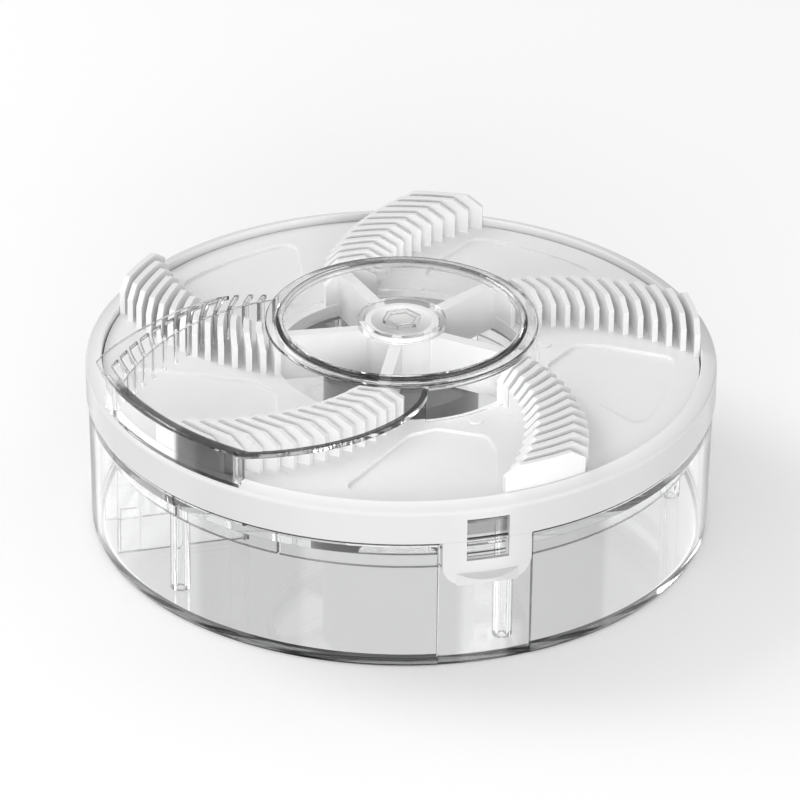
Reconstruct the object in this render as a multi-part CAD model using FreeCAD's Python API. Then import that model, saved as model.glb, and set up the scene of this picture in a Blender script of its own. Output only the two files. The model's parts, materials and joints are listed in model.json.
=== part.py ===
"""Electric rotating fly trap: a round clear box, a lid with a motor, a turntable and a hood.

Millimetres, +Z up. The origin is on the floor under the middle of the box, and the latch
faces -Y. Angles are in degrees, counter-clockwise from +X seen from above.
"""
import FreeCAD, Part
import math
import os

V = FreeCAD.Vector
UP = V(0, 0, 1)
ORIGIN = V(0, 0, 0)

# Driving dimensions -----------------------------------------------------------------

RING_R = 90.0            # outside of the white ring, the widest part
RING_LOW_Z = 40.2        # lower edge of the ring
RING_TOP_Z = 51.4        # crest of the ring
RING_BORE_R = 85.4       # inside of the ring, round the turntable
RING_SKIRT_BORE_R = 87.65
LEDGE_R = 79.0           # inner edge of the ledge under the turntable
LEDGE_LOW_Z = 44.7
LEDGE_TOP_Z = 46.4

BOX_LOW_R = 88.8
BOX_TOP_R = 89.4
BOX_TOP_Z = 39.8         # shoulder that the ring stands on
BOX_WALL = 1.8
BOX_FLOOR = 2.0
NECK_R = 87.35           # spigot inside the ring
NECK_BORE_R = 85.9
NECK_TOP_Z = 45.1
RECESS_WIDTH = 26.6      # flat panel behind the latch
RECESS_R = 88.1

TRAY_R = 85.3            # clear tray below the turntable
TRAY_Z = 42.9            # underside of its plate
TRAY_THICK = 1.8
TRAY_SKIRT_LOW_Z = 30.4
DROP_R = 37.0            # opening that the flies drop through
SKIRT_SLITS = (208.0, 231.4)
LEG_RING_R = 78.8
LEG_R = 2.75
LEG_BORE_R = 1.2
LEG_LOW_Z = 2.6
FIRST_LEG = 203.5        # angle of the first of the five legs
SCREW_RING_R = 81.3      # tray screws
FIRST_SCREW = 247.5
DIVIDER_HALF_WIDTH = 10.1
DIVIDER_WALL = 1.2
DIVIDER_IN_X = -47.5
DIVIDER_OUT_X = -84.8
DIVIDER_LOW_Z = 2.8

FENCES = 5
STEP = 360.0 / FENCES
PLATE_R = 85.0
PLATE_LOW_Z = 47.0
PLATE_Z = 49.0           # top of the turntable
OPENING_R = 36.0
COLLAR_R = 36.8          # outside of the collar that hangs round the opening
COLLAR_LOW_Z = 45.05     # lower edge of the collar and of the spokes
TOOTH_TOP_Z = 59.0
TOOTH_FIRST_R = 37.0
TOOTH_PITCH = 3.65
TEETH = 14
TOOTH_THICK = 1.6
TOOTH_SHOULDER_Z = 55.9
TOOTH_SLOPE = 4.5        # length along the tooth of its sloping end
HUB_R = 10.4
HUB_TOP_Z = 60.6
HUB_LOW_Z = 46.2
HUB_CUP_R = 8.8
HUB_CUP_Z = 53.0
SPOKE_THICK = 3.4
SPOKE_TOP_Z = 58.9
FIRST_SPOKE = 30.0

ROOF_Z = 59.4            # underside of the hood's roof
ROOF_THICK = 1.2
HOOD_R = 89.3
HOOD_WALL = 1.5
HOOD_FRONT = 224.5       # angle of the entrance's outer corner
HOOD_WALL_REAR = 185.8
HOOD_REAR = 180.5
SLOT_GAP = 0.45          # play on each side of a tooth in its slot
SLOT_REACH = 7.0         # length of a slot in the roof
SKIRT_IN_R = 38.3        # wall of the hood between the first two rows of teeth
SKIRT_OUT_R = 39.3
HOOD_FOOT_Z = 49.8       # lower edge of the walls over the turntable
ROOF_RING_IN_R = 36.4
CAP_FLANGE_R = 38.9
CAP_R = 35.4
CAP_TOP_Z = 62.6
CAP_THICK = 1.1
KEY_FLATS = 9.8          # hexagonal collar under the middle of the cap, across its flats

TAB_WIDTH = 25.5
TAB_LOW_Z = 26.4
TAB_IN_R = 88.85
TAB_CORNER = 6.5
TAB_SEAM = 0.03          # line where the tab bends
WINDOW_WIDTH = 12.1
WINDOW_LOW_Z = 34.0
WINDOW_TOP_Z = 47.0
LIP_WIDTH = 17.8
LIP_TOP_Z = 30.1
LIP_NOSE_Z = (28.0, 29.1)   # outer edge of the lip, bottom and top
LIP_OUT = 2.5

POD_R = 22.2             # motor housing under the tray
POD_WALL = 1.6
POD_LOW_Z = 15.4
MODULE = 0.4
WHEEL_TEETH = 42
PINION_TEETH = 14
CENTRES = MODULE * (WHEEL_TEETH + PINION_TEETH) / 2 + 0.08
SECOND_AXLE = 90.0       # direction of the second gear from the middle
MOTOR_AXLE = -30.0       # direction of the motor from the middle
AXLE_R = 0.75
AXLE_PLAY = 0.05
SHAFT_R = 2.5
BUSH_R = 4.2
DECK_LOW_Z = 29.4
DECK_TOP_Z = 31.0
MOTOR_R = 9.0
MOTOR_LOW_Z = 18.4
DRIVE_FLATS = 8.0        # across the flats of the hexagonal drive

INLET_TURN = -90.0       # inlet, pod and train are drawn facing -X, then turned to face +Y
TOWER_OUT_X = -82.5      # outer face of the inlet's tower, before that turn
TOWER_IN_X = -68.0
TOWER_HALF_WIDTH = 7.0
TOWER_LOW_Z = 8.0
DUCT_WALL = 1.2
SOCKET_Z = 17.0
SOCKET_NOSE_R = 4.0
PORT_R = 7.0
CHANNEL_HALF_WIDTH = 3.2
CHANNEL_LOW_Z = 38.4
WEB_LOW_Z = 4.6
LEAD_R = 0.55
LEAD_SPREAD = 1.1        # distance of each lead from the middle plane
TAG_Z = 19.8             # top of the motor's solder tags


# Helpers ----------------------------------------------------------------------------

def polar(radius, degrees, z=0.0):
    """Point at a radius and an angle."""
    turn = math.radians(degrees)
    return V(radius * math.cos(turn), radius * math.sin(turn), z)


def cylinder(radius, z0, z1, at=ORIGIN):
    return Part.makeCylinder(radius, z1 - z0, V(at.x, at.y, z0), UP)


def tube(inner, outer, z0, z1, at=ORIGIN):
    return cylinder(outer, z0, z1, at).cut(cylinder(inner, z0 - 1, z1 + 1, at))


def block(x0, x1, y0, y1, z0, z1):
    return Part.makeBox(x1 - x0, y1 - y0, z1 - z0, V(x0, y0, z0))


def turned(points):
    """Solid of revolution about Z from (radius, z) corners."""
    corners = [V(radius, 0, z) for radius, z in points]
    face = Part.Face(Part.makePolygon(corners + [corners[0]]))
    return face.revolve(ORIGIN, UP, 360)


def slab(edges, z0, z1):
    """Plan outline at z = 0, raised to stand from z0 to z1."""
    face = Part.Face(Part.Wire(edges))
    face.translate(V(0, 0, z0))
    return face.extrude(V(0, 0, z1 - z0))


def line(start, end):
    return Part.makeLine(start, end)


def arc(radius, start, end):
    """Plan arc about the axis, from one angle to another."""
    middle = polar(radius, (start + end) / 2)
    return Part.Arc(polar(radius, start), middle, polar(radius, end)).toShape()


def curve(points):
    spline = Part.BSplineCurve()
    spline.interpolate(points)
    return spline.toShape()


def sector(inner, outer, start, end, z0, z1):
    """Part of a tube between two angles."""
    edges = [arc(outer, start, end), line(polar(outer, end), polar(inner, end)),
             arc(inner, end, start), line(polar(inner, start), polar(outer, start))]
    return slab(edges, z0, z1)


def turn_about_axis(shape, degrees):
    copy = shape.copy()
    copy.rotate(ORIGIN, UP, degrees)
    return copy


def ring_of(shape, count, first=0.0):
    """Copies of a shape spaced evenly about the axis."""
    return [turn_about_axis(shape, first + index * 360.0 / count) for index in range(count)]


def fused(shapes):
    body = shapes[0].multiFuse(shapes[1:])
    return body.removeSplitter()


def hexagon(flats, z0, z1):
    corner_r = flats / math.sqrt(3)
    corners = [polar(corner_r, 60 * side) for side in range(6)]
    return slab(Part.makePolygon(corners + [corners[0]]).Edges, z0, z1)


def screw(at, head_r, shank_r, head_z, seat_z, tip_z):
    """Pan-head screw with a cross recess; the head lies on the seat, the tip is the far end."""
    low, high = sorted((head_z, seat_z))
    head = cylinder(head_r, low, high, at)
    deep = 0.55 * (high - low)
    floor = high - deep if head_z > seat_z else low
    for half_x, half_y in ((0.62 * head_r, 0.14 * head_r), (0.14 * head_r, 0.62 * head_r)):
        cross = block(at.x - half_x, at.x + half_x, at.y - half_y, at.y + half_y,
                      floor, floor + deep)
        head = head.cut(cross)
    return head.fuse(cylinder(shank_r, *sorted((seat_z, tip_z)), at)).removeSplitter()


def save(name, shapes, turn=0.0):
    shape = shapes if isinstance(shapes, Part.Shape) else Part.makeCompound(shapes)
    shape = turn_about_axis(shape, turn)
    shape.exportStep("parts/" + name + ".step")
    print(name, "solids", len(shape.Solids), "valid", shape.isValid(), "mm3", round(shape.Volume))


# Gears ------------------------------------------------------------------------------

def tooth_gear(teeth, z0, z1, bore, at, tooth_at):
    """Involute spur gear with a tooth centred at the angle tooth_at."""
    pitch_r = MODULE * teeth / 2
    base_r = pitch_r * math.cos(math.radians(20))
    tip_r = pitch_r + 0.8 * MODULE
    root_r = pitch_r - 1.2 * MODULE
    backlash = 0.05

    def half_width(radius):
        """Half the tooth's angle at a radius, in radians."""
        def involute(angle):
            return math.tan(angle) - angle
        at_pitch = math.pi / (2 * teeth) - backlash / pitch_r
        lean = math.acos(min(1.0, base_r / radius))
        return at_pitch + involute(math.radians(20)) - involute(lean)

    flank_start = max(root_r, base_r)
    flank = [flank_start + (tip_r - flank_start) * step / 4 for step in range(5)]
    corners = []
    for tooth in range(teeth):
        middle = math.radians(tooth_at) + 2 * math.pi * tooth / teeth
        side = [(root_r, half_width(flank_start))] if root_r < flank_start else []
        side += [(radius, half_width(radius)) for radius in flank]
        for radius, half in side:
            corners.append(polar(radius, math.degrees(middle - half)))
        for radius, half in reversed(side):
            corners.append(polar(radius, math.degrees(middle + half)))
    wheel = slab(Part.makePolygon(corners + [corners[0]]).Edges, z0, z1)
    wheel.translate(V(at.x, at.y, 0))
    return wheel.cut(cylinder(bore, z0 - 1, z1 + 1, at))


SECOND_AT = polar(CENTRES, SECOND_AXLE)
MOTOR_AT = polar(CENTRES, MOTOR_AXLE)
HALF_PITCH_WHEEL = 180.0 / WHEEL_TEETH

FIRST_WHEEL_Z = (31.8, 34.0)
FIRST_PINION_Z = (34.0, 37.8)
SECOND_WHEEL_Z = (35.2, 37.4)
SECOND_PINION_Z = (37.4, 41.3)
OUTPUT_Z = (38.7, 41.1)
MOTOR_PINION_Z = (31.5, 34.3)


def first_gear():
    """Compound gear turning in the middle, driven by the motor's pinion."""
    bore = AXLE_R + AXLE_PLAY
    wheel_tooth = MOTOR_AXLE + HALF_PITCH_WHEEL
    wheel = tooth_gear(WHEEL_TEETH, *FIRST_WHEEL_Z, bore, ORIGIN, wheel_tooth)
    pinion = tooth_gear(PINION_TEETH, *FIRST_PINION_Z, bore, ORIGIN, SECOND_AXLE)
    return fused([wheel, pinion])


def second_gear():
    """Compound gear beside the middle, between the first gear and the output gear."""
    bore = AXLE_R + AXLE_PLAY
    wheel_tooth = SECOND_AXLE + 180 + HALF_PITCH_WHEEL
    wheel = tooth_gear(WHEEL_TEETH, *SECOND_WHEEL_Z, bore, SECOND_AT, wheel_tooth)
    pinion = tooth_gear(PINION_TEETH, *SECOND_PINION_Z, bore, SECOND_AT, SECOND_AXLE + 180)
    return fused([wheel, pinion])


def output_gear():
    tooth_at = SECOND_AXLE + HALF_PITCH_WHEEL
    return tooth_gear(WHEEL_TEETH, *OUTPUT_Z, SHAFT_R, ORIGIN, tooth_at)


def motor_pinion():
    return tooth_gear(PINION_TEETH, *MOTOR_PINION_Z, AXLE_R, MOTOR_AT, MOTOR_AXLE + 180)


# Box --------------------------------------------------------------------------------

def collecting_box():
    inner_low = BOX_LOW_R - BOX_WALL
    outline = [(0, 0), (BOX_LOW_R - 1.4, 0), (BOX_LOW_R - 0.4, 0.4), (BOX_LOW_R, 1.4),
               (BOX_TOP_R, BOX_TOP_Z), (NECK_R, BOX_TOP_Z), (NECK_R, NECK_TOP_Z),
               (NECK_BORE_R, NECK_TOP_Z), (NECK_BORE_R, BOX_TOP_Z - 2.2),
               (BOX_TOP_R - BOX_WALL, BOX_TOP_Z - 4.0), (inner_low, BOX_FLOOR + 1.6),
               (inner_low - 0.5, BOX_FLOOR + 0.5), (inner_low - 1.6, BOX_FLOOR), (0, BOX_FLOOR)]
    box = turned(outline)

    half = RECESS_WIDTH / 2
    panel = block(-half, half, -RING_R - 5, -60, -1, BOX_TOP_Z + 0.01)
    box = box.cut(panel.common(tube(RECESS_R, RING_R + 5, -1, BOX_TOP_Z + 0.01)))
    backing = panel.common(tube(RECESS_R - 1.6, RECESS_R, BOX_FLOOR, BOX_TOP_Z - 2.2))
    box = box.fuse(backing.common(block(-half, half, -RING_R, -60, BOX_FLOOR, BOX_TOP_Z)))

    for rib_z in (34.5, 37.9):
        rib = sector(RECESS_R - 0.2, TAB_IN_R - 0.12, 270 - 3.6, 270 + 3.6, rib_z, rib_z + 1.0)
        box = box.fuse(rib)

    port = Part.makeCylinder(PORT_R, 12, V(0, RING_R + 2, SOCKET_Z), V(0, -1, 0))
    return box.cut(port).removeSplitter()


# Lid --------------------------------------------------------------------------------

def tab_zone(half_width, z0, z1):
    return block(-half_width, half_width, -RING_R - 8, -60, z0, z1)


def top_ring():
    outline = [(RING_R, RING_LOW_Z), (RING_R, 49.2), (89.86, 49.7), (89.5, 50.08),
               (88.9, 50.34), (86.5, 51.18), (86.0, 51.34), (85.8, RING_TOP_Z),
               (85.55, RING_TOP_Z - 0.1), (RING_BORE_R, RING_TOP_Z - 0.35),
               (RING_BORE_R, LEDGE_TOP_Z), (LEDGE_R, LEDGE_TOP_Z), (LEDGE_R, LEDGE_LOW_Z),
               (85.5, LEDGE_LOW_Z), (85.5, NECK_TOP_Z + 0.3),
               (RING_SKIRT_BORE_R, NECK_TOP_Z + 0.3), (RING_SKIRT_BORE_R, RING_LOW_Z)]
    ring = turned(outline)
    window = tab_zone(WINDOW_WIDTH / 2, RING_LOW_Z - 1, WINDOW_TOP_Z)
    ring = ring.cut(window.common(tube(RING_BORE_R + 0.3, RING_R + 5, 0, 60)))
    pilot = cylinder(0.9, LEDGE_LOW_Z - 1, 46.0, polar(SCREW_RING_R, 0))
    for hole in ring_of(pilot, FENCES, FIRST_SCREW):
        ring = ring.cut(hole)
    return ring.removeSplitter()


def latch_tab():
    """Springy tab that the ring carries at the front, with its window and finger lip."""
    top_z = RING_LOW_Z - TAB_SEAM
    half = TAB_WIDTH / 2
    tab = tube(TAB_IN_R, RING_R, TAB_LOW_Z, top_z).common(tab_zone(half, TAB_LOW_Z, top_z))
    corners = [edge for edge in tab.Edges
               if abs(edge.CenterOfMass.z - TAB_LOW_Z) < 0.01 and edge.Length < 2.0]
    tab = tab.makeFillet(TAB_CORNER, corners)
    tab = tab.cut(tab_zone(WINDOW_WIDTH / 2, WINDOW_LOW_Z, top_z + 1))

    half_lip = LIP_WIDTH / 2
    edge_y = -math.sqrt(RING_R ** 2 - half_lip ** 2)
    nose_y = -RING_R - LIP_OUT
    bow = Part.Arc(V(-half_lip, edge_y, 0), V(0, nose_y, 0), V(half_lip, edge_y, 0)).toShape()
    back_y = -TAB_IN_R + 1.0
    lip = slab([bow, line(V(half_lip, edge_y, 0), V(half_lip, back_y, 0)),
                line(V(half_lip, back_y, 0), V(-half_lip, back_y, 0)),
                line(V(-half_lip, back_y, 0), V(-half_lip, edge_y, 0))], TAB_LOW_Z, LIP_TOP_Z)
    nose_low, nose_top = LIP_NOSE_Z
    side = [(back_y, TAB_LOW_Z + 0.1), (-RING_R, TAB_LOW_Z + 0.1), (nose_y + 0.2, nose_low),
            (nose_y, nose_low + 0.2), (nose_y, nose_top - 0.2), (nose_y + 0.2, nose_top),
            (-RING_R, LIP_TOP_Z), (back_y, LIP_TOP_Z)]
    profile = [V(-half_lip, y, z) for y, z in side]
    wedge = Part.Face(Part.makePolygon(profile + [profile[0]])).extrude(V(LIP_WIDTH, 0, 0))
    lip = lip.common(wedge).cut(cylinder(TAB_IN_R, TAB_LOW_Z - 1, LIP_TOP_Z + 1))
    return tab.fuse(lip).removeSplitter()


ARMS = (90.0, 210.0, 330.0)
ARM_WIDTH = 7.0
EAR_R = 25.6


def inner_tray():
    """Clear ring under the turntable, with a skirt inside the box and five hollow legs."""
    top_z = TRAY_Z + TRAY_THICK
    plate = tube(DROP_R, TRAY_R, TRAY_Z, top_z)
    skirt = tube(TRAY_R - 1.6, TRAY_R, TRAY_SKIRT_LOW_Z, TRAY_Z + 0.2)
    rim = tube(DROP_R, DROP_R + 1.4, TRAY_Z - 3.0, top_z)
    leg = cylinder(LEG_R, LEG_LOW_Z, TRAY_Z + 0.2, polar(LEG_RING_R, 0))
    tray = fused([plate, skirt, rim] + ring_of(leg, FENCES, FIRST_LEG))

    leg_bore = cylinder(LEG_BORE_R, LEG_LOW_Z - 1, TRAY_Z - 2.0, polar(LEG_RING_R, 0))
    cuts = ring_of(leg_bore, FENCES, FIRST_LEG)
    screw_hole = cylinder(0.9, TRAY_Z - 1, top_z + 1, polar(SCREW_RING_R, 0))
    cuts += ring_of(screw_hole, FENCES, FIRST_SCREW)
    for angle in SKIRT_SLITS:
        slit = block(TRAY_R - 3, TRAY_R + 1, -0.4, 0.4, TRAY_SKIRT_LOW_Z - 1, TRAY_Z - 4)
        cuts.append(turn_about_axis(slit, angle))
    duct_gap = block(-DROP_R - 3, -DROP_R + 2, -CHANNEL_HALF_WIDTH, CHANNEL_HALF_WIDTH,
                     TRAY_Z - 4, TRAY_Z)
    cuts.append(turn_about_axis(duct_gap, INLET_TURN))
    for cut in cuts:
        tray = tray.cut(cut)
    return tray.removeSplitter()


def motor_bridge():
    """Disc with three arms across the tray's opening: it carries the pod and the bush."""
    top_z = TRAY_Z + TRAY_THICK
    arm = block(POD_R - 3, DROP_R + 1, -ARM_WIDTH / 2, ARM_WIDTH / 2, TRAY_Z, top_z)
    arms = [turn_about_axis(arm, angle) for angle in ARMS]
    bridge = fused([cylinder(POD_R, TRAY_Z, top_z)] + arms)
    bridge = bridge.common(cylinder(DROP_R, TRAY_Z, top_z))
    cuts = [cylinder(0.9, TRAY_Z - 1, TRAY_Z + 1.2, polar(EAR_R, angle)) for angle in ARMS]
    cuts.append(cylinder(AXLE_R + AXLE_PLAY, TRAY_Z - 1, TRAY_Z + 0.6, SECOND_AT))
    cuts.append(cylinder(BUSH_R, TRAY_Z - 1, top_z + 1))
    for cut in cuts:
        bridge = bridge.cut(cut)
    return bridge.removeSplitter()


def tray_screws():
    places = [polar(SCREW_RING_R, FIRST_SCREW + STEP * index) for index in range(FENCES)]
    return [screw(at, 1.8, 0.9, TRAY_Z - 1.3, TRAY_Z, 45.8) for at in places]


def divider():
    """Clear U-shaped wall that hangs from the tray on the left, almost to the floor."""
    half = DIVIDER_HALF_WIDTH
    inner = half - DIVIDER_WALL
    walls = block(DIVIDER_OUT_X, DIVIDER_IN_X, -half, half, DIVIDER_LOW_Z, TRAY_Z)
    room = block(DIVIDER_OUT_X - 1, DIVIDER_IN_X - DIVIDER_WALL, -inner, inner,
                 DIVIDER_LOW_Z - 1, TRAY_Z + 1)
    panel = block(DIVIDER_OUT_X + 0.6, DIVIDER_OUT_X + 6, -half - 0.5, -half + 0.5,
                  DIVIDER_LOW_Z + 0.8, DIVIDER_LOW_Z + 14.6)
    foot = block(DIVIDER_IN_X - 1.6, DIVIDER_IN_X, -half - 0.7, -half + 0.5,
                 DIVIDER_LOW_Z, DIVIDER_LOW_Z + 5.5)
    beside_skirt = tube(TRAY_R - 1.8, RING_R, TRAY_SKIRT_LOW_Z - 0.2, TRAY_Z + 1)
    return fused([walls.cut(room), panel, foot]).cut(beside_skirt)


# Power inlet ------------------------------------------------------------------------

def power_duct():
    """Hanging tower for the socket, a channel for the leads and a thin web below it."""
    tower = block(TOWER_OUT_X, TOWER_IN_X, -TOWER_HALF_WIDTH, TOWER_HALF_WIDTH,
                  TOWER_LOW_Z, TRAY_Z)
    channel = block(TOWER_IN_X, -POD_R - 0.3, -CHANNEL_HALF_WIDTH, CHANNEL_HALF_WIDTH,
                    CHANNEL_LOW_Z, TRAY_Z)
    web = block(TOWER_IN_X, -48.0, -0.7, 0.7, WEB_LOW_Z, CHANNEL_LOW_Z)
    duct = fused([tower, channel, web])
    inner = TOWER_HALF_WIDTH - DUCT_WALL
    room = block(TOWER_OUT_X + DUCT_WALL, TOWER_IN_X - DUCT_WALL, -inner, inner,
                 TOWER_LOW_Z - 1, TRAY_Z + 1)
    inner = CHANNEL_HALF_WIDTH - 1.0
    groove = block(TOWER_IN_X - 2, -POD_R + 1, -inner, inner, CHANNEL_LOW_Z + 1.0, TRAY_Z + 1)
    nose = Part.makeCylinder(SOCKET_NOSE_R, 4, V(TOWER_OUT_X - 1, 0, SOCKET_Z), V(1, 0, 0))
    return duct.cut(room).cut(groove).cut(nose).removeSplitter()


def inlet_cover():
    """Plate that closes the bottom of the tower, with two snap lugs."""
    inner = TOWER_HALF_WIDTH - DUCT_WALL
    x0 = TOWER_OUT_X + DUCT_WALL
    x1 = TOWER_IN_X - DUCT_WALL
    plate = block(x0 + 0.05, x1 - 0.05, -inner + 0.05, inner - 0.05, TOWER_LOW_Z, TOWER_LOW_Z + 1.2)
    lugs = [block((x0 + x1) / 2 - 2, (x0 + x1) / 2 + 2, side - 0.5, side + 0.5,
                  TOWER_LOW_Z + 1.2, TOWER_LOW_Z + 3.0) for side in (-inner + 0.6, inner - 0.6)]
    return fused([plate] + lugs)


def dc_socket_body():
    x0 = TOWER_OUT_X + DUCT_WALL
    body = block(x0, x0 + 9.0, -4.5, 4.5, SOCKET_Z - 5.5, SOCKET_Z + 5.5)
    nose = Part.makeCylinder(SOCKET_NOSE_R - 0.05, DUCT_WALL, V(TOWER_OUT_X, 0, SOCKET_Z), V(1, 0, 0))
    bore = Part.makeCylinder(2.8, 9.0, V(TOWER_OUT_X, 0, SOCKET_Z), V(1, 0, 0))
    tag_slots = Part.makeCylinder(1.0, 12, V(TOWER_OUT_X, 0, SOCKET_Z), V(1, 0, 0))
    return body.fuse(nose).cut(bore).cut(tag_slots).removeSplitter()


def dc_socket_pin():
    """Centre contact of the socket, with a rounded tip."""
    start = TOWER_OUT_X + 1.6
    pin = Part.makeCylinder(1.0, 8.6, V(start, 0, SOCKET_Z), V(1, 0, 0))
    return pin.fuse(Part.makeSphere(1.0, V(start, 0, SOCKET_Z)))


def lead(side):
    """One insulated lead from the socket to the motor."""
    radius = LEAD_R
    offset = side * LEAD_SPREAD
    tail_x = TOWER_OUT_X + DUCT_WALL + 9.0
    high_z = CHANNEL_LOW_Z + 2.4
    low_z = TAG_Z + radius + 0.01
    route = [V(tail_x, offset, SOCKET_Z + 2.5), V(tail_x + 1.9, offset, SOCKET_Z + 2.5),
             V(tail_x + 1.9, offset, high_z), V(-19.4, offset, high_z),
             V(-19.4, offset, low_z), V(-6.0, offset, low_z),
             V(MOTOR_AT.x - MOTOR_R - 2.4, MOTOR_AT.y + offset * 1.6, low_z)]
    parts = []
    for start, end in zip(route, route[1:]):
        run = end - start
        parts.append(Part.makeCylinder(radius, run.Length, start, run))
    parts += [Part.makeSphere(radius, corner) for corner in route[1:-1]]
    return fused(parts)


# Motor pod --------------------------------------------------------------------------

COLUMN_ANGLES = (60.0, 150.0, 240.0)
COLUMN_RING_R = 18.2


def pod_housing():
    """Cup that holds the motor and the train, with three ears under the tray's arms."""
    top_z = TRAY_Z
    cup = cylinder(POD_R, POD_LOW_Z, top_z)
    bottom = [edge for edge in cup.Edges if abs(edge.CenterOfMass.z - POD_LOW_Z) < 0.01]
    cup = cup.makeFillet(1.5, bottom)
    cup = cup.cut(cylinder(POD_R - POD_WALL, POD_LOW_Z + POD_WALL, top_z + 1))
    parts = [cup]
    for angle in COLUMN_ANGLES:
        parts.append(cylinder(2.2, POD_LOW_Z + 1, DECK_LOW_Z, polar(COLUMN_RING_R, angle)))
    for angle in ARMS:
        ear = cylinder(3.0, top_z - 2.2, top_z, polar(EAR_R, 0))
        ear = ear.fuse(block(POD_R - 0.8, EAR_R, -3.0, 3.0, top_z - 2.2, top_z))
        parts.append(turn_about_axis(ear, angle))
    cup = fused(parts)
    for angle in COLUMN_ANGLES:
        cup = cup.cut(cylinder(0.8, DECK_LOW_Z - 5, DECK_LOW_Z + 1, polar(COLUMN_RING_R, angle)))
    for angle in ARMS:
        cup = cup.cut(cylinder(0.9, top_z - 3, top_z + 1, polar(EAR_R, angle)))
    notch = block(-POD_R - 1, -POD_R + 3, -2.0, 2.0, CHANNEL_LOW_Z + 1.2, top_z + 1)
    return cup.cut(notch).removeSplitter()


def pod_screws():
    return [screw(polar(EAR_R, angle), 1.8, 0.9, TRAY_Z - 3.5, TRAY_Z - 2.2, TRAY_Z + 1.1)
            for angle in ARMS]


def gear_deck():
    deck = cylinder(POD_R - POD_WALL - 0.1, DECK_LOW_Z, DECK_TOP_Z)
    holes = [cylinder(AXLE_R, DECK_LOW_Z - 1, DECK_TOP_Z + 1, at) for at in (ORIGIN, SECOND_AT)]
    holes.append(cylinder(3.2, DECK_LOW_Z - 1, DECK_TOP_Z + 1, MOTOR_AT))
    holes += [cylinder(0.8, DECK_LOW_Z - 1, DECK_TOP_Z + 1, polar(COLUMN_RING_R, angle))
              for angle in COLUMN_ANGLES]
    holes += [cylinder(0.7, DECK_LOW_Z - 1, DECK_TOP_Z + 1, at) for at in motor_screw_places()]
    holes.append(block(-POD_R, -17.8, -2.4, 2.4, DECK_LOW_Z - 1, DECK_TOP_Z + 1))
    for hole in holes:
        deck = deck.cut(hole)
    return deck


def motor_screw_places():
    """Two holes in the motor's face, either side of its boss."""
    across = polar(5.6, MOTOR_AXLE + 90)
    return [MOTOR_AT + across, MOTOR_AT - across]


def deck_screws():
    return [screw(polar(COLUMN_RING_R, angle), 1.5, 0.8, DECK_TOP_Z + 0.9, DECK_TOP_Z, DECK_LOW_Z - 3.5)
            for angle in COLUMN_ANGLES]


def motor_screws():
    return [screw(at, 1.2, 0.7, DECK_TOP_Z + 0.7, DECK_TOP_Z, DECK_LOW_Z - 1.8)
            for at in motor_screw_places()]


def gear_axles():
    middle = cylinder(AXLE_R, DECK_LOW_Z, 40.2)
    beside = cylinder(AXLE_R, DECK_LOW_Z, TRAY_Z + 0.4, SECOND_AT)
    return [middle, beside]


def motor_can():
    can = cylinder(MOTOR_R, MOTOR_LOW_Z, DECK_LOW_Z, MOTOR_AT)
    rims = [edge for edge in can.Edges if edge.CenterOfMass.z > DECK_LOW_Z - 0.01 and edge.Length > 50]
    can = can.makeFillet(1.0, rims)
    can = can.fuse(cylinder(3.0, DECK_LOW_Z - 0.5, DECK_TOP_Z - 0.2, MOTOR_AT))
    can = can.cut(cylinder(AXLE_R + AXLE_PLAY, MOTOR_LOW_Z + 2, 40, MOTOR_AT))
    for at in motor_screw_places():
        can = can.cut(cylinder(0.7, DECK_LOW_Z - 2, DECK_LOW_Z + 1, at))
    return can.removeSplitter()


def motor_end_cap():
    cap = cylinder(MOTOR_R - 0.4, MOTOR_LOW_Z - 1.3, MOTOR_LOW_Z, MOTOR_AT)
    return cap.cut(cylinder(1.6, MOTOR_LOW_Z - 2, MOTOR_LOW_Z - 0.7, MOTOR_AT))


def motor_terminals():
    """Two solder tags on the side of the can."""
    tags = []
    for side in (-1, 1):
        y = MOTOR_AT.y + side * LEAD_SPREAD * 1.6
        x_can = MOTOR_AT.x - MOTOR_R
        tags.append(block(x_can - 2.4, x_can, y - 0.7, y + 0.7, TAG_Z - 0.4, TAG_Z))
    return tags


def motor_shaft():
    return cylinder(AXLE_R, MOTOR_LOW_Z + 2.1, MOTOR_PINION_Z[1], MOTOR_AT)


def shaft_bush():
    """Flanged plain bearing in the middle of the tray."""
    sleeve = cylinder(BUSH_R, TRAY_Z - 0.9, TRAY_Z + TRAY_THICK + 0.7)
    flange = cylinder(BUSH_R + 1.4, TRAY_Z - 0.9, TRAY_Z)
    return sleeve.fuse(flange).cut(cylinder(SHAFT_R + 0.06, 30, 60)).removeSplitter()


def drive_shaft():
    """Round shaft in the bush with a hexagonal head that carries the turntable."""
    low_z = OUTPUT_Z[0]
    round_part = cylinder(SHAFT_R, low_z, HUB_LOW_Z + 1)
    head = hexagon(DRIVE_FLATS - 0.1, HUB_LOW_Z, HUB_CUP_Z + 0.4)
    pivot = cylinder(AXLE_R + AXLE_PLAY, low_z - 1, 40.4)
    recess = cylinder(1.6, HUB_CUP_Z - 2, HUB_CUP_Z + 1)
    return round_part.fuse(head).cut(pivot).cut(recess).removeSplitter()


# Turntable --------------------------------------------------------------------------

def fence_middle(radius):
    """Angle of the middle of a tooth: the fence leans back along a spiral."""
    return 26.9 - 0.681 * (radius - TOOTH_FIRST_R)


def fence_length(radius):
    return 16.1 + 0.187 * (radius - TOOTH_FIRST_R)


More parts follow.
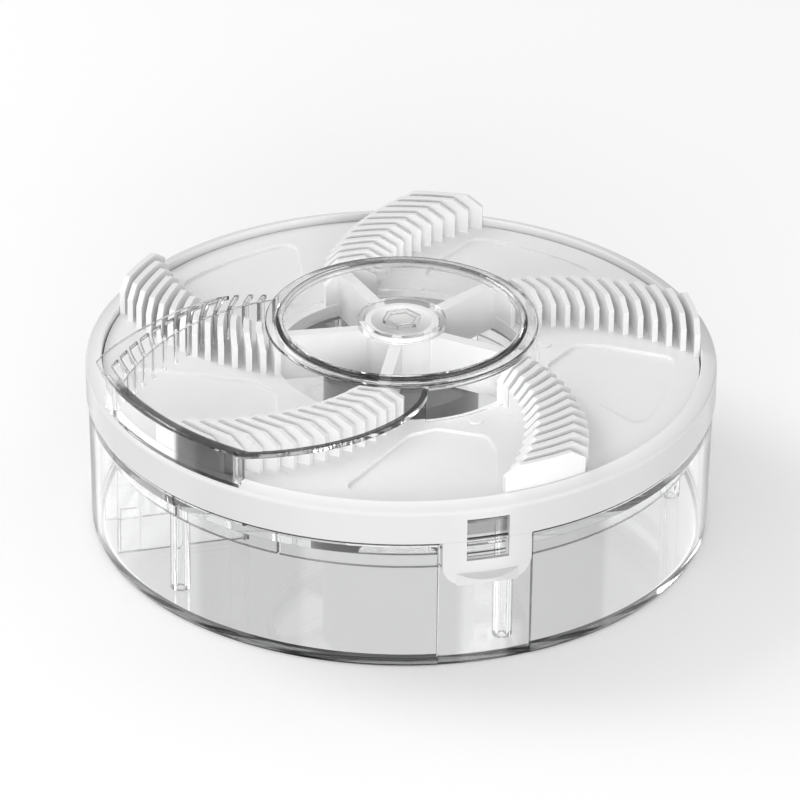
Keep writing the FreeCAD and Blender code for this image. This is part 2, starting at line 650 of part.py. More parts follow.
def fence():
    """One row of teeth, each a curved blade with sloping ends."""
    teeth = []
    for index in range(TEETH):
        radius = TOOTH_FIRST_R + TOOTH_PITCH * index
        half = fence_length(radius) / 2
        foot_z = PLATE_Z - 1.2
        side = [(-half, foot_z), (-half, TOOTH_SHOULDER_Z), (-half + TOOTH_SLOPE, TOOTH_TOP_Z),
                (half - TOOTH_SLOPE, TOOTH_TOP_Z), (half, TOOTH_SHOULDER_Z), (half, foot_z)]
        corners = [V(radius - 3, along, z) for along, z in side]
        blade = Part.Face(Part.makePolygon(corners + [corners[0]])).extrude(V(6, 0, 0))
        ring = tube(radius - TOOTH_THICK / 2, radius + TOOTH_THICK / 2, foot_z, TOOTH_TOP_Z)
        tooth = ring.common(blade)
        teeth.append(turn_about_axis(tooth, fence_middle(radius)))
    return teeth


def pan():
    """Shallow bait pan between two fences."""
    outer_left, outer_right = 241.8, 274.2
    inner_left, inner_right = polar(44.2, 257.5), polar(50.5, 283.2)
    middle = polar(41.6, 268.5)
    right = polar(59.0, 281.2)
    edges = [arc(77.8, outer_left, outer_right), line(polar(77.8, outer_right), right),
             line(right, inner_right), line(inner_right, middle), line(middle, inner_left),
             line(inner_left, polar(77.8, outer_left))]
    hollow = slab(edges, PLATE_Z - 0.9, PLATE_Z + 1)
    upright = [edge for edge in hollow.Edges if abs(edge.BoundBox.ZLength - 1.9) < 0.01]
    return hollow.makeFillet(4.0, upright)


def rotor_plate():
    plate = tube(OPENING_R, PLATE_R, PLATE_LOW_Z, PLATE_Z)
    hub = cylinder(HUB_R, HUB_LOW_Z, HUB_TOP_Z)
    spoke = block(HUB_R - 1, COLLAR_R - 0.1, -SPOKE_THICK / 2, SPOKE_THICK / 2,
                  COLLAR_LOW_Z, SPOKE_TOP_Z)
    collar = tube(OPENING_R, COLLAR_R, COLLAR_LOW_Z, PLATE_LOW_Z + 0.5)
    nub = cylinder(2.0, PLATE_Z - 0.3, PLATE_Z + 0.4, polar(41.8, 284.5))
    one_fence = fence()
    for hollow in ring_of(pan(), FENCES):
        plate = plate.cut(hollow)
    parts = [plate, hub, collar] + ring_of(spoke, FENCES, FIRST_SPOKE) + ring_of(nub, FENCES)
    for tooth in one_fence:
        parts += ring_of(tooth, FENCES)
    rotor = fused(parts)
    rotor = rotor.cut(cylinder(HUB_CUP_R, HUB_CUP_Z, HUB_TOP_Z + 1))
    rotor = rotor.cut(hexagon(DRIVE_FLATS, HUB_LOW_Z - 1, HUB_CUP_Z + 1))
    return rotor.removeSplitter()


# Cover ------------------------------------------------------------------------------

def comb_angle(radius):
    """Angle of the comb wall at a radius."""
    inward = (85.7 - radius) / RING_R
    return 187.6 - 72 * inward - 35 * inward ** 2


def shifted_comb(radius, shift):
    """Point on the comb wall, moved along its circle by a length."""
    return polar(radius, comb_angle(radius) + math.degrees(shift / radius))


def comb_strip(inner, outer, low_shift, high_shift, z0, z1):
    """Strip that follows the comb wall between two shifts along the circles."""
    radii = [inner + (outer - inner) * step / 6 for step in range(7)]
    near = [shifted_comb(radius, high_shift) for radius in radii]
    far = [shifted_comb(radius, low_shift) for radius in reversed(radii)]
    return slab([curve(near), line(near[-1], far[0]), curve(far), line(far[-1], near[0])], z0, z1)


def front_edge(outset=0.0):
    """Entrance edge of the roof, from the outer corner to the middle ring."""
    places = ((HOOD_R, HOOD_FRONT), (77.3, 236.4), (68.4, 244.7), (58.9, 253.0),
              (50.6, 259.6), (37.6, 266.0))
    return [polar(radius, angle - math.degrees(outset / radius)) for radius, angle in places]


def rear_edge():
    places = ((37.6, 140.5), (46.2, 144.3), (53.9, 149.3), (61.6, 156.6), (69.3, 164.3),
              (78.2, 171.6), (HOOD_R, HOOD_REAR))
    return [polar(radius, angle) for radius, angle in places]


def cover_hood():
    roof_top = ROOF_Z + ROOF_THICK
    front = front_edge()
    rear = rear_edge()
    roof = slab([curve(front), arc(37.6, 266.0, 140.5), curve(rear),
                 arc(HOOD_R, HOOD_REAR, HOOD_FRONT)], ROOF_Z, roof_top)
    bead_back = front_edge(1.7)
    bead = slab([curve(front), line(front[-1], bead_back[-1]), curve(bead_back[::-1]),
                 line(bead_back[0], front[0])], ROOF_Z, roof_top + 0.5)
    middle_ring = tube(ROOF_RING_IN_R, SKIRT_OUT_R, ROOF_Z, roof_top)
    skirt = sector(SKIRT_IN_R, SKIRT_OUT_R, 264.5 - 360, 141.5, HOOD_FOOT_Z, roof_top)
    wall = sector(HOOD_R - HOOD_WALL, HOOD_R, HOOD_WALL_REAR, HOOD_FRONT, 49.0, roof_top)
    comb = comb_strip(SKIRT_IN_R + 0.3, HOOD_R - 0.4, 0.0, 2.4, HOOD_FOOT_Z, roof_top)
    corner = sector(HOOD_R - 3.2, HOOD_R, HOOD_FRONT - 1.4, HOOD_FRONT, 51.6, roof_top)

    slot_zone = comb_strip(35.0, HOOD_R - 2.2, -SLOT_REACH, 2.6, HOOD_FOOT_Z - 1, roof_top + 1)
    walls = fused([roof, bead, middle_ring, skirt, wall, comb, corner])
    for index in range(1, TEETH):
        radius = TOOTH_FIRST_R + TOOTH_PITCH * index
        reach = TOOTH_THICK / 2 + SLOT_GAP
        slot = tube(radius - reach, radius + reach, HOOD_FOOT_Z - 1, roof_top + 1)
        walls = walls.cut(slot.common(slot_zone))
    seat = turned([(80, 51.75), (85.9, 51.55), (88.95, 50.5), (89.6, 50.2), (90.2, 49.4),
                   (90.2, 40), (80, 40)])
    over_table = tube(OPENING_R - 5, RING_BORE_R + 0.6, 40, HOOD_FOOT_Z)
    under_flange = cylinder(CAP_FLANGE_R + 0.3, roof_top, roof_top + 2)
    return walls.cut(seat).cut(over_table).cut(under_flange).removeSplitter()


def centre_cap():
    seat_z = ROOF_Z + ROOF_THICK
    outline = [(CAP_FLANGE_R, seat_z), (CAP_FLANGE_R, seat_z + 0.5), (CAP_FLANGE_R - 0.3, seat_z + 0.8),
               (CAP_R, seat_z + 0.8), (CAP_R, CAP_TOP_Z - 0.5), (CAP_R - 0.5, CAP_TOP_Z),
               (0, CAP_TOP_Z), (0, CAP_TOP_Z - CAP_THICK), (CAP_R - 1.5, CAP_TOP_Z - CAP_THICK),
               (CAP_R - 1.5, ROOF_Z + 0.1), (CAP_R - 0.2, ROOF_Z + 0.1), (CAP_R - 0.2, seat_z)]
    under_z = CAP_TOP_Z - CAP_THICK
    boss = tube(HUB_R + 0.4, HUB_R + 2.1, SPOKE_TOP_Z + 0.4, under_z + 0.2)
    key = hexagon(KEY_FLATS, under_z - 1.0, under_z + 0.2)
    key = key.cut(hexagon(KEY_FLATS - 2.4, under_z - 2, under_z))
    return turned(outline).fuse([boss, key]).removeSplitter()


# Build ------------------------------------------------------------------------------

def main():
    os.makedirs("parts", exist_ok=True)
    straight = {
        "collecting_box": collecting_box,
        "top_ring": top_ring,
        "latch_tab": latch_tab,
        "inner_tray": inner_tray,
        "tray_screws": tray_screws,
        "divider": divider,
        "shaft_bush": shaft_bush,
        "rotor_plate": rotor_plate,
        "drive_shaft": drive_shaft,
        "cover_hood": cover_hood,
        "centre_cap": centre_cap,
    }
    turned_with_inlet = {
        "motor_bridge": motor_bridge,
        "power_duct": power_duct,
        "inlet_cover": inlet_cover,
        "dc_socket_body": dc_socket_body,
        "dc_socket_pin": dc_socket_pin,
        "lead_wires": lambda: [lead(-1), lead(1)],
        "pod_housing": pod_housing,
        "pod_screws": pod_screws,
        "gear_deck": gear_deck,
        "deck_screws": deck_screws,
        "gear_axles": gear_axles,
        "motor_can": motor_can,
        "motor_end_cap": motor_end_cap,
        "motor_terminals": motor_terminals,
        "motor_screws": motor_screws,
        "output_gear": output_gear,
        "second_gear": second_gear,
        "first_gear": first_gear,
        "motor_shaft": motor_shaft,
        "motor_pinion": motor_pinion,
    }
    for name, make in straight.items():
        save(name, make())
    for name, make in turned_with_inlet.items():
        save(name, make(), INLET_TURN)


main()
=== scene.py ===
"""Looks of the rotating fly trap: clear polystyrene, gloss white plastic, studio and camera."""

import json
import math

import bpy
from mathutils import Matrix, Vector


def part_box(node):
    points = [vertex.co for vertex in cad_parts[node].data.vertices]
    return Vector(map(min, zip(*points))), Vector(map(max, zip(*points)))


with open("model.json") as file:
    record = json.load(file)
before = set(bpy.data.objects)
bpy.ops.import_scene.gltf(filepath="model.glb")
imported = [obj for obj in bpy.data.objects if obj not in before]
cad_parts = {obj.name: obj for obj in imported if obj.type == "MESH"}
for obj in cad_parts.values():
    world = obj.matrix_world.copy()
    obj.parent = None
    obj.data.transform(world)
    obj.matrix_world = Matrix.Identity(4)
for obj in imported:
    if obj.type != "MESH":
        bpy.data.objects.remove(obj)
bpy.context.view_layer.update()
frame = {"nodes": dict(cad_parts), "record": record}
scene = bpy.context.scene

MM = 0.001
RING_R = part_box("top_ring")[1].x

# Camera -----------------------------------------------------------------------------

CAMERA_TURN = -14.5      # degrees about the axis, from straight in front of -Y
CAMERA_TILT = 29.15      # degrees above the horizon
CAMERA_FAR = 20.0        # distance in ring radii
CAMERA_ASIDE = -0.375    # sideways offset of the camera in ring radii
CAMERA_RAISE = 0.392     # height of the aimed level in ring radii
CAMERA_YAW = 0.0186      # radians towards the right
FRAME_PX = 800
FOCAL_PX = 6287.0        # focal length in pixels of the frame
SENSOR = 36.0            # width of the sensor in millimetres
CLIP = (0.05, 50)        # nearest and farthest distance seen


def add_camera():
    """Long lens from the front left, looking down on the turntable."""
    data = bpy.data.cameras.new("view")
    data.sensor_width = SENSOR
    data.lens = FOCAL_PX / FRAME_PX * SENSOR
    data.clip_start, data.clip_end = CLIP
    camera = bpy.data.objects.new("view", data)
    scene.collection.objects.link(camera)
    tilt = math.radians(CAMERA_TILT)
    spin = Matrix.Rotation(math.radians(CAMERA_TURN), 3, "Z")
    place = Vector((CAMERA_ASIDE, -CAMERA_FAR * math.cos(tilt),
                    CAMERA_RAISE + CAMERA_FAR * math.sin(tilt))) * RING_R
    ahead = Vector((0, math.cos(tilt), -math.sin(tilt)))
    right = Vector((1, 0, 0))
    up = right.cross(ahead)
    turned_ahead = ahead * math.cos(CAMERA_YAW) + right * math.sin(CAMERA_YAW)
    turned_right = right * math.cos(CAMERA_YAW) - ahead * math.sin(CAMERA_YAW)
    axes = Matrix((turned_right, up, -turned_ahead)).transposed()
    camera.matrix_world = Matrix.Translation(spin @ place) @ (spin @ axes).to_4x4()
    scene.camera = camera


# Nodes ------------------------------------------------------------------------------

def new_material(name):
    """Material with only its Principled shader."""
    material = bpy.data.materials.new(name)
    material.use_nodes = True
    nodes = material.node_tree.nodes
    return material, nodes, material.node_tree.links, nodes["Principled BSDF"]


def feed(links, socket, value):
    """Gives an input a number, a colour or another node's output."""
    if isinstance(value, bpy.types.NodeSocket):
        links.new(value, socket)
    elif isinstance(value, tuple):
        socket.default_value = (*value, 1)
    else:
        socket.default_value = value


def math_node(nodes, links, operation, *values):
    node = nodes.new("ShaderNodeMath")
    node.operation = operation
    for socket, value in zip(node.inputs, values):
        feed(links, socket, value)
    return node.outputs["Value"]


def product(nodes, links, first, *others):
    for other in others:
        first = math_node(nodes, links, "MULTIPLY", first, other)
    return first


def highest(nodes, links, first, *others):
    for other in others:
        first = math_node(nodes, links, "MAXIMUM", first, other)
    return first


def ramp(nodes, links, source, low, high, start=0.3, end=0.7):
    """Maps start to end, by default the spread of a noise, to the range from low to high."""
    node = nodes.new("ShaderNodeMapRange")
    feed(links, node.inputs["From Min"], start)
    feed(links, node.inputs["From Max"], end)
    feed(links, node.inputs["To Min"], low)
    feed(links, node.inputs["To Max"], high)
    feed(links, node.inputs["Value"], source)
    return node.outputs["Result"]


def between(nodes, links, value, low, high, fade):
    """1 between low and high, falling to 0 over fade on either side."""
    rise = ramp(nodes, links, value, 0, 1, low - fade, low)
    fall = ramp(nodes, links, value, 1, 0, high, high + fade)
    return product(nodes, links, rise, fall)


def sector(nodes, links, angle, low, high, fade):
    """The same for an angle, with the limits in degrees."""
    return between(nodes, links, angle, math.radians(low), math.radians(high), math.radians(fade))


def tint(nodes, links, share, first, second, blend="MIX"):
    """Goes from the first to the second colour, each a colour or another node's output."""
    node = nodes.new("ShaderNodeMix")
    node.data_type = "RGBA"
    node.blend_type = blend
    feed(links, node.inputs["Factor"], share)
    feed(links, node.inputs["A"], first)
    feed(links, node.inputs["B"], second)
    return node.outputs["Result"]


def noise(nodes, links, scale, detail=4.0, stretch=(1, 1, 1)):
    """Noise over the object's own coordinates, in metres."""
    place = nodes.new("ShaderNodeTexCoord")
    mapping = nodes.new("ShaderNodeMapping")
    mapping.inputs["Scale"].default_value = stretch
    texture = nodes.new("ShaderNodeTexNoise")
    feed(links, texture.inputs["Scale"], scale)
    feed(links, texture.inputs["Detail"], detail)
    feed(links, mapping.inputs["Vector"], place.outputs["Object"])
    feed(links, texture.inputs["Vector"], mapping.outputs["Vector"])
    return texture.outputs["Fac"]


def bump(nodes, links, shader, source, strength, distance):
    node = nodes.new("ShaderNodeBump")
    feed(links, node.inputs["Strength"], strength)
    feed(links, node.inputs["Distance"], distance)
    feed(links, node.inputs["Height"], source)
    feed(links, shader.inputs["Normal"], node.outputs["Normal"])


def place_of(nodes, links):
    """Distance from the axis, angle about it and height, in metres and radians."""
    place = nodes.new("ShaderNodeTexCoord")
    split = nodes.new("ShaderNodeSeparateXYZ")
    feed(links, split.inputs["Vector"], place.outputs["Object"])
    x, y, z = (split.outputs[axis] for axis in "XYZ")
    squares = math_node(nodes, links, "ADD", product(nodes, links, x, x),
                        product(nodes, links, y, y))
    return (math_node(nodes, links, "SQRT", squares),
            math_node(nodes, links, "ARCTAN2", y, x), z)


def grazing(nodes):
    """0 on clear plastic seen face on, 1 where it is seen along its surface."""
    weight = nodes.new("ShaderNodeLayerWeight")
    weight.inputs["Blend"].default_value = 0.5
    return weight.outputs["Facing"]


EDGE_COSINES = (0.86, 0.99)    # rounded against true normal: a sharp edge, an open face


def edge_lines(nodes, links, radius):
    """0 on open faces, up to 1 along sharp edges: where a rounded normal leaves the true one."""
    rounded = nodes.new("ShaderNodeBevel")
    rounded.samples = 4
    feed(links, rounded.inputs["Radius"], radius)
    plain = nodes.new("ShaderNodeNewGeometry")
    both = nodes.new("ShaderNodeVectorMath")
    both.operation = "DOT_PRODUCT"
    feed(links, both.inputs[0], rounded.outputs["Normal"])
    feed(links, both.inputs[1], plain.outputs["True Normal"])
    return ramp(nodes, links, both.outputs["Value"], 1, 0, *EDGE_COSINES)


# Opaque plastic and metal -----------------------------------------------------------

# Noise scales, in waves per metre.
TONE_SCALE = 38          # shifts of tone
GLOSS_SCALE = 160        # more and less gloss
GRAIN_SCALE = 1800       # fine moulded surface
TURNED_SCALE = 900       # lines left on metal by turning and drawing

PLASTIC_IOR = 1.49
# Painted highlight that lights up the sharp edges of moulded plastic.
EDGE_HIGHLIGHT_WHITE = (0.99, 0.99, 0.99)

CREST_Z = (0.0486, 0.0512)     # heights between which the white ring rounds over, and its painted shade turns to painted light
# Painted shade on the ring's side and painted light on its crest.
RING_SIDE_PAINTED_SHADE = (0.65, 0.65, 0.65)
RING_SIDE_PAINTED_SHADE_DARK = tuple(0.97 * c for c in RING_SIDE_PAINTED_SHADE)
RING_CREST_PAINTED_LIGHT = (0.88, 0.88, 0.88)


def moulded(name, light, dark, smooth, rough, edge=None):
    """Opaque moulded plastic: faint tone shifts, uneven gloss, a fine surface, painted highlights
    along edges.
    """
    material, nodes, links, shader = new_material(name)
    share = ramp(nodes, links, noise(nodes, links, TONE_SCALE), 0, 1)
    colour = tint(nodes, links, share, light, dark)
    # painted highlight along sharp edges
    if edge:
        colour = tint(nodes, links, edge_lines(nodes, links, edge), colour, EDGE_HIGHLIGHT_WHITE)
    feed(links, shader.inputs["Base Color"], colour)
    feed(links, shader.inputs["Roughness"],
         ramp(nodes, links, noise(nodes, links, GLOSS_SCALE), smooth, rough))
    bump(nodes, links, shader, noise(nodes, links, GRAIN_SCALE, 3), 0.35, 0.02 * MM)
    shader.inputs["IOR"].default_value = PLASTIC_IOR
    return material


def ring_white_painted_shade(name, smooth, rough):
    """Gloss white moulding with painted shade on its side and painted light on its crest."""
    material = moulded(name, RING_SIDE_PAINTED_SHADE, RING_SIDE_PAINTED_SHADE_DARK, smooth, rough)
    nodes, links = material.node_tree.nodes, material.node_tree.links
    base = nodes["Principled BSDF"].inputs["Base Color"]
    height = place_of(nodes, links)[2]
    share = ramp(nodes, links, height, 0, 1, *CREST_Z)
    feed(links, base, tint(nodes, links, share, base.links[0].from_socket, RING_CREST_PAINTED_LIGHT))
    return material


def metal(name, colour, smooth, rough, stretch):
    """Bare metal with fine lines along one direction."""
    material, nodes, links, shader = new_material(name)
    shader.inputs["Metallic"].default_value = 1.0
    lines = noise(nodes, links, TURNED_SCALE, 3, stretch)
    darker = tuple(0.86 * c for c in colour)
    feed(links, shader.inputs["Base Color"],
         tint(nodes, links, ramp(nodes, links, lines, 0, 1), colour, darker))
    feed(links, shader.inputs["Roughness"], ramp(nodes, links, lines, smooth, rough))
    bump(nodes, links, shader, lines, 0.3, 0.01 * MM)
    return material


# Painted shade in the clear parts -------------------------------------------------
# Painted shade: the clear plastic's colour is painted dark where a corner would lead light away.
# A pair of radii from the axis or of heights from the floor is where a line begins and ends, or
# where a change begins and is full.

BAND_FADE = 0.1 * MM

HOOD_PAST_SKIRT_R = (0.0402, 0.0407)    # the thin skirt round the middle stays clear
HOOD_WALL_R = (0.0858, 0.0864)          # outer wall
HOOD_RIM_Z = (0.0597, 0.0602)           # top of the outer wall
HOOD_BEAD_Z = (0.06065, 0.0607)         # bead along the entrance, just above the roof, painted black
HOOD_OVER_RING_Z = (0.0523, 0.0526)     # edges below it are faint, beside the white ring
HOOD_RING_SHARE = 0.15
HOOD_FRONT = (-168, -130, 5)            # from angle, to angle and fade, in degrees
HOOD_PAINTED_REFLECTION = (-149.5, -137, 0.8)       # last stretch of the wall before the entrance, where a dark reflection is painted
HOOD_PAINTED_REFLECTION_SHARE = 0.8

LEGS_OUT_R = (0.082, 0.0823)            # the tray's legs stand inside it, its skirt outside
LEG_OUTLINE = (0.45, 0.7)               # how far seen from the side

BOX_FOOT_Z = (0.0009, 0.0011)
BOX_FLOOR_Z = (0.0021, 0.0024)
BOX_FLOOR_SHARE = 0.5
BOX_SHOULDER_Z = (0.0394, 0.0398)
BOX_NECK_Z = (0.0402, 0.0403)           # neck behind the latch window, painted grey as shade
BOX_NECK_SHARE = 0.6
BOX_WALL_R = (0.0862, 0.0866)

CAP_RIM_R = (0.0386, 0.0387)            # edge of the flange
CAP_RIM_SHARE = 0.8
CAP_DISC_R = (0.0350, 0.0352)           # side of the raised disc
CAP_SIDE_Z = (0.0615, 0.0623)
CAP_SEAM_R = (0.0353, 0.0358)           # corner between the disc and the flange
CAP_SEAM_Z = (0.0616, 0.0618)


def hood_painted_shade_and_reflection(nodes, links, dark):
    """Painted shade: dark edges outside the skirt, a black bead and a dark rim of the wall; a
    painted dark reflection on the wall's front corner.
    """
    radius, angle, z = place_of(nodes, links)
    rim = product(nodes, links, ramp(nodes, links, z, 0, 1, *HOOD_RIM_Z),
                  sector(nodes, links, angle, *HOOD_FRONT))
    painted_reflection = product(nodes, links, sector(nodes, links, angle, *HOOD_PAINTED_REFLECTION), HOOD_PAINTED_REFLECTION_SHARE)
    wall = product(nodes, links, highest(nodes, links, rim, painted_reflection),
                   ramp(nodes, links, radius, 0, 1, *HOOD_WALL_R))
    bead = ramp(nodes, links, z, 0, 1, *HOOD_BEAD_Z)
    edges = product(nodes, links, highest(nodes, links, dark, bead),
                    ramp(nodes, links, radius, 0, 1, *HOOD_PAST_SKIRT_R),
                    ramp(nodes, links, z, HOOD_RING_SHARE, 1, *HOOD_OVER_RING_Z))
    return highest(nodes, links, edges, wall)


def tray_painted_shade(nodes, links, dark):
    """Painted shade: dark outlines of the thin legs, as far as they are seen from the side."""
    radius = place_of(nodes, links)[0]
    outline = product(nodes, links, ramp(nodes, links, grazing(nodes), 0, 1, *LEG_OUTLINE),
                      ramp(nodes, links, radius, 1, 0, *LEGS_OUT_R))
    return highest(nodes, links, dark, outline)


def box_painted_shade(nodes, links, dark):
    """Painted shade: dark foot, inner floor and shoulder lines, and a neck painted grey behind the
    window.
    """
    radius, _, z = place_of(nodes, links)
    foot = ramp(nodes, links, z, 1, 0, *BOX_FOOT_Z)
    floor = product(nodes, links, between(nodes, links, z, *BOX_FLOOR_Z, BAND_FADE),
                    BOX_FLOOR_SHARE)
    shoulder = between(nodes, links, z, *BOX_SHOULDER_Z, BAND_FADE)
    wall = product(nodes, links, highest(nodes, links, foot, floor, shoulder),
                   ramp(nodes, links, radius, 0, 1, *BOX_WALL_R))
    neck = ramp(nodes, links, z, 0, BOX_NECK_SHARE, *BOX_NECK_Z)
    return highest(nodes, links, dark, wall, neck)


def cap_painted_shade(nodes, links, dark):
    """Painted shade: dark rim of the flange, side of the raised disc and seam between the two."""
    radius, _, z = place_of(nodes, links)
    rim = ramp(nodes, links, radius, 0, CAP_RIM_SHARE, *CAP_RIM_R)
    side = product(nodes, links, between(nodes, links, z, *CAP_SIDE_Z, BAND_FADE),
                   ramp(nodes, links, radius, 0, 1, *CAP_DISC_R))
    seam = product(nodes, links, between(nodes, links, radius, *CAP_SEAM_R, BAND_FADE),
                   ramp(nodes, links, z, 1, 0, *CAP_SEAM_Z))
    return highest(nodes, links, dark, rim, side, seam)


# Clear plastic ----------------------------------------------------------------------

CLEAR_IOR = 1.53
CLEAR_TONE_SCALE = 22          # noise scales, in waves per metre
CLEAR_GLOSS_SCALE = 240
FLOW_SCALE = 26
FLOW_STRETCH = (1, 1, 0.35)    # flow waves are longer upwards
GRAZING = (0.86, 1.0)          # where clear plastic seen along its surface is painted dark, as painted shade
SHADOW_TINT = (0.99, 0.99, 0.99)      # light that one clear surface lets through
PAINTED_EDGE_SHADE = (0.02, 0.02, 0.021)       # painted shade of clear plastic along an edge, where light would be led away
DEPTH_TINT = (0.30, 0.31, 0.32)       # colour that thick clear plastic tends to


def clear(name, colour, rough, density, edge, lines):
    """Clear polystyrene: uneven polish, faint flow waves, painted shade on edges and grazing
    faces, lit through.
    """
    material, nodes, links, shader = new_material(name)
    shader.inputs["Transmission Weight"].default_value = 1.0
    shader.inputs["IOR"].default_value = CLEAR_IOR
    lighter = tuple(min(1, 1.01 * c) for c in colour)
    body = tint(nodes, links, noise(nodes, links, CLEAR_TONE_SCALE), colour, lighter)
    # Painted shade: darker colour at grazing angles and along sharp edges, and each part's own
    # painted lines.
    dark = highest(nodes, links, ramp(nodes, links, grazing(nodes), 0, 1, *GRAZING),
                   edge_lines(nodes, links, edge))
    feed(links, shader.inputs["Base Color"],
         tint(nodes, links, lines(nodes, links, dark), body, PAINTED_EDGE_SHADE))
    feed(links, shader.inputs["Roughness"],
         ramp(nodes, links, noise(nodes, links, CLEAR_GLOSS_SCALE), 0, rough))
    bump(nodes, links, shader, noise(nodes, links, FLOW_SCALE, 2, FLOW_STRETCH), 0.05, 0.1 * MM)

    lit_through = nodes.new("ShaderNodeBsdfTransparent")
    lit_through.inputs["Color"].default_value = (*SHADOW_TINT, 1)
    path = nodes.new("ShaderNodeLightPath")
    choice = nodes.new("ShaderNodeMixShader")
    surface = nodes["Material Output"].inputs["Surface"]
    feed(links, choice.inputs["Fac"], path.outputs["Is Shadow Ray"])
    feed(links, choice.inputs[1], shader.outputs["BSDF"])
    feed(links, choice.inputs[2], lit_through.outputs["BSDF"])
    feed(links, surface, choice.outputs["Shader"])
    if density:
        volume = nodes.new("ShaderNodeVolumeAbsorption")
        volume.inputs["Color"].default_value = (*DEPTH_TINT, 1)
        volume.inputs["Density"].default_value = density
        feed(links, nodes["Material Output"].inputs["Volume"], volume.outputs["Volume"])
    return material


# Parts ------------------------------------------------------------------------------

# What makes each material, and what it is given. clear: colour, roughest polish, absorption per
# metre, width of the painted dark edge lines and the part's own painted shade. The white ring's
# maker, painted darker on its side than on its crest: smoothest and roughest gloss. moulded: two
# tones, gloss and, where edges get a painted highlight, its width. metal: colour, gloss and the
# stretch of its lines.
LOOKS = {
    "clear_box": (clear, (0.988, 0.99, 0.99), 0.02, 6, 0.25 * MM, box_painted_shade),
    "clear_cover": (clear, (0.99, 0.992, 0.992), 0.015, 4, 0.6 * MM, hood_painted_shade_and_reflection),
    "clear_tray": (clear, (0.988, 0.99, 0.99), 0.02, 6, 0.25 * MM, tray_painted_shade),
    "clear_cap": (clear, (0.995, 0.996, 0.996), 0.015, 0, 0.3 * MM, cap_painted_shade),
    "white_shell": (ring_white_painted_shade, 0.16, 0.24),
    "white_rotor": (moulded, (0.87, 0.87, 0.87), (0.85, 0.85, 0.85), 0.34, 0.46, 0.4 * MM),
    "grey_shell": (moulded, (0.11, 0.11, 0.112), (0.09, 0.09, 0.092), 0.3, 0.4),
    "natural_plastic": (moulded, (0.84, 0.83, 0.80), (0.80, 0.79, 0.76), 0.35, 0.5),
    "black_plastic": (moulded, (0.035, 0.035, 0.037), (0.02, 0.02, 0.02), 0.4, 0.55),
    "lead_insulation": (moulded, (0.72, 0.72, 0.73), (0.66, 0.66, 0.67), 0.4, 0.5),
    "brass": (metal, (0.80, 0.66, 0.36), 0.2, 0.34, (1, 1, 6)),
    "steel": (metal, (0.78, 0.78, 0.80), 0.18, 0.32, (1, 1, 5)),
}
MATERIALS = {name: make(name, *values) for name, (make, *values) in LOOKS.items()}

MATERIAL_OF = {row["node"]: row["material_slot"] for row in frame["record"]["subparts"]}
MATERIAL_OF["centre_cap"] = "clear_cap"
MATERIAL_OF["inner_tray"] = "clear_tray"

BEVELS_MM = {"rotor_plate": 0.15, "cover_hood": 0.18, "centre_cap": 0.2, "top_ring": 0.2,
             "latch_tab": 0.25, "collecting_box": 0.25, "inner_tray": 0.2, "power_duct": 0.2,
             "pod_housing": 0.2, "inlet_cover": 0.15}
BEVEL_FROM = 32          # degrees between two faces
SHARP_FROM = 30

SEATED_ON_CLEAR = ("centre_cap",)   # shrunk a hair, so that light can leave one part for the other
SEAT_GAP = 0.02 * MM


def dress_cad_nodes():
    """Gives every moulded part its material and its softened edges."""
    for name, node in frame["nodes"].items():
        node.data.materials.clear()
        node.data.materials.append(MATERIALS[MATERIAL_OF[name]])
        node.data.shade_smooth()
        if name in BEVELS_MM:
            edge = node.modifiers.new("edge", "BEVEL")
            edge.width = BEVELS_MM[name] * MM
            edge.segments = 2
            edge.limit_method = "ANGLE"
            edge.angle_limit = math.radians(BEVEL_FROM)
            edge.harden_normals = True
        else:
            node.data.set_sharp_from_angle(angle=math.radians(SHARP_FROM))
        if name in SEATED_ON_CLEAR:
            gap = node.modifiers.new("gap", "DISPLACE")
            gap.strength = -SEAT_GAP
            gap.mid_level = 0.0


# Studio -----------------------------------------------------------------------------

# Brightness of the sky from the horizon, 0, to straight above, 1.
SKY = ((0.0, 0.10), (0.10, 0.22), (0.28, 0.62), (0.6, 0.66), (1.0, 0.66))
# Upright panels all round below the horizon: from angle, to angle and brightness. 0 degrees is
# to the right of the camera and -90 behind it.
PANELS = ((-180, -172, 1.2), (-172, -128, 0.30), (-128, -68, 1.0), (-68, -50, 2.6),
          (-50, -8, 0.3), (-8, 62, 1.15), (62, 112, 0.73), (112, 180, 1.25))
PANEL_EDGE = 1.5         # degrees over which one panel fades into the next
BRIGHTEST = 3.0
NADIR = 0.3              # brightness straight below, seen only in bent rays
NADIR_FROM = (0.80, 0.94)

FLOOR_SIDE = 30
FLOOR_DROP = 0.05 * MM   # the floor lies a hair under the box
FLOOR_TONES = (0.85, 0.85, 0.85), (0.86, 0.86, 0.86)
FLOOR_TONE_SCALE = 3
FLOOR_GLOW = 0.19        # keeps the shadows on the floor as faint as in a light box

# Place, aimed point, sides and power of each soft light.
KEY = ((-0.8, 0.7, 1.0), (0, 0, 0), (0.7, 0.7), 6)
FRONT = ((-0.4, -1.5, 0.42), (0, 0, 0.03), (1.1, 0.5), 13.5)


def add_light(name, place, aim, sides, power):
    data = bpy.data.lights.new(name, "AREA")
    data.shape = "RECTANGLE"
    data.size, data.size_y = sides
    data.energy = power
    light = bpy.data.objects.new(name, data)
    light.location = place
    light.rotation_euler = (Vector(aim) - Vector(place)).to_track_quat("-Z", "Y").to_euler()
    scene.collection.objects.link(light)
    return light


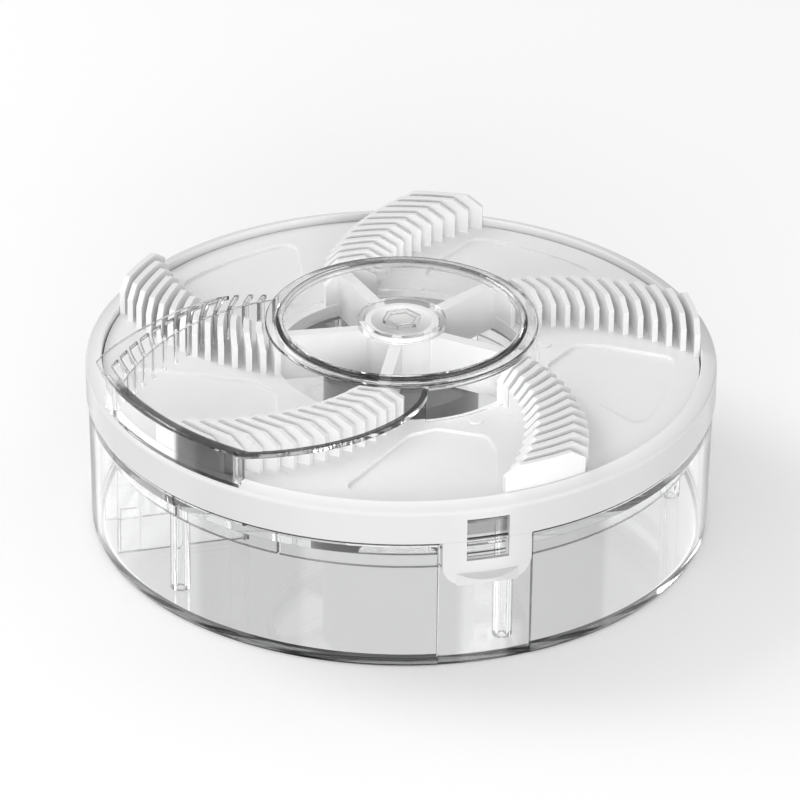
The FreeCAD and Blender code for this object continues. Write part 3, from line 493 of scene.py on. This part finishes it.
def stepped(nodes, links, source, stops):
    """Grey from a 0 to 1 value, by stops of position and brightness."""
    node = nodes.new("ShaderNodeValToRGB")
    elements = node.color_ramp.elements
    for index, (position, value) in enumerate(stops):
        element = elements[index] if index < 2 else elements.new(position)
        element.position = position
        level = value / BRIGHTEST
        element.color = (level, level, level, 1)
    feed(links, node.inputs["Fac"], source)
    return node.outputs["Color"]


def panel_stops():
    """Each panel's two ends as stops over the full turn, whose own ends are sharp."""
    stops = []
    for start, end, level in PANELS:
        stops.append(((start + PANEL_EDGE + 180) / 360, level))
        stops.append(((end - PANEL_EDGE + 180) / 360, level))
    stops[0] = (0.0, stops[0][1])
    stops[-1] = (1.0, stops[-1][1])
    return stops


def studio_world():
    """White sky with a dark horizon, and upright panels below it for the clear parts to bend."""
    world = bpy.data.worlds.new("studio")
    scene.world = world
    world.use_nodes = True
    nodes, links = world.node_tree.nodes, world.node_tree.links
    background = nodes["Background"]

    place = nodes.new("ShaderNodeTexCoord")
    turn = nodes.new("ShaderNodeMapping")
    turn.inputs["Rotation"].default_value = (0, 0, math.radians(-CAMERA_TURN))
    split = nodes.new("ShaderNodeSeparateXYZ")
    feed(links, turn.inputs["Vector"], place.outputs["Generated"])
    feed(links, split.inputs["Vector"], turn.outputs["Vector"])
    x, y, z = (split.outputs[axis] for axis in "XYZ")

    angle = math_node(nodes, links, "ARCTAN2", y, x)
    share = math_node(nodes, links, "DIVIDE", angle, 2 * math.pi)
    share = math_node(nodes, links, "ADD", share, 0.5)
    panels = stepped(nodes, links, share, panel_stops())
    down = product(nodes, links, z, -1.0)
    fade = ramp(nodes, links, down, 1.0, NADIR, *NADIR_FROM)
    low = tint(nodes, links, 1.0, panels, fade, "MULTIPLY")
    sky = stepped(nodes, links, z, SKY)
    above = math_node(nodes, links, "GREATER_THAN", z, 0.0)
    feed(links, background.inputs["Color"], tint(nodes, links, above, low, sky))
    background.inputs["Strength"].default_value = BRIGHTEST


def add_floor():
    """Pale floor that glows faintly and isn't seen in or through the clear parts."""
    material, nodes, links, shader = new_material("floor")
    feed(links, shader.inputs["Base Color"],
         tint(nodes, links, noise(nodes, links, FLOOR_TONE_SCALE), *FLOOR_TONES))
    shader.inputs["Roughness"].default_value = 0.7
    shader.inputs["Specular IOR Level"].default_value = 0.1
    shader.inputs["Emission Color"].default_value = (1, 1, 1, 1)
    shader.inputs["Emission Strength"].default_value = FLOOR_GLOW
    bpy.ops.mesh.primitive_plane_add(size=FLOOR_SIDE, location=(0, 0, -FLOOR_DROP))
    floor = bpy.context.object
    floor.name = "floor"
    floor.data.materials.append(material)
    floor.visible_glossy = False
    floor.visible_transmission = False


dress_cad_nodes()
add_floor()
studio_world()
add_light("key", *KEY)
add_light("front", *FRONT).visible_glossy = False
add_camera()
scene.view_settings.view_transform = "Standard"
scene.cycles.max_bounces = 64               # light led along a clear wall bounces many times
scene.cycles.transmission_bounces = 48
scene.cycles.glossy_bounces = 48
